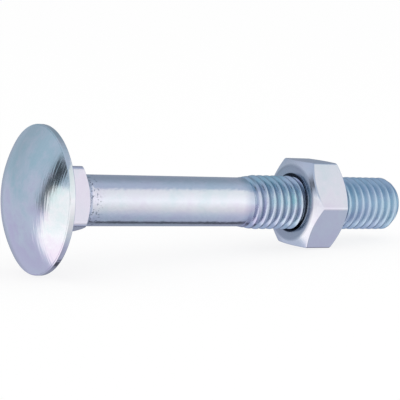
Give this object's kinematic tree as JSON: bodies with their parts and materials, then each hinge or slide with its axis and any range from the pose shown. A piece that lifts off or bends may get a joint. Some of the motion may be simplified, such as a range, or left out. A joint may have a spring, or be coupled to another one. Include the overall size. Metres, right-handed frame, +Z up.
{
  "type": "carriage bolt with hexagon nut",
  "caption": "Zinc-plated carriage bolt with a low domed head, square neck and threaded end, and a hexagon nut screwed part of the way on.",
  "frame": {"origin": "on the floor under the middle of the lying bolt's box", "axes": "+Z up; +X from the head towards the tail, along the bolt's longest side; the bolt's own axis dips 4.7 degrees below +X, because the head's rim is wider than the nut; two flats of the nut are square to the XZ plane and its corners point along Y"},
  "size_m": [0.0644, 0.0206, 0.0206],
  "materials": {
    "zinc_bolt": "bright zinc plate with a pale blue passivation over forged and rolled steel",
    "zinc_nut": "bright zinc plate with a pale blue passivation over pressed steel"
  },
  "bodies": {
    "bolt": {"bolt": "zinc_bolt"},
    "nut": {"nut": "zinc_nut"}
  },
  "joints": [
    {"name": "nut_travel", "type": "slide", "parent": "bolt", "child": "nut", "axis": [0.9966, 0, -0.082], "range_m": [-0.0075, 0.01125]}
  ]
}
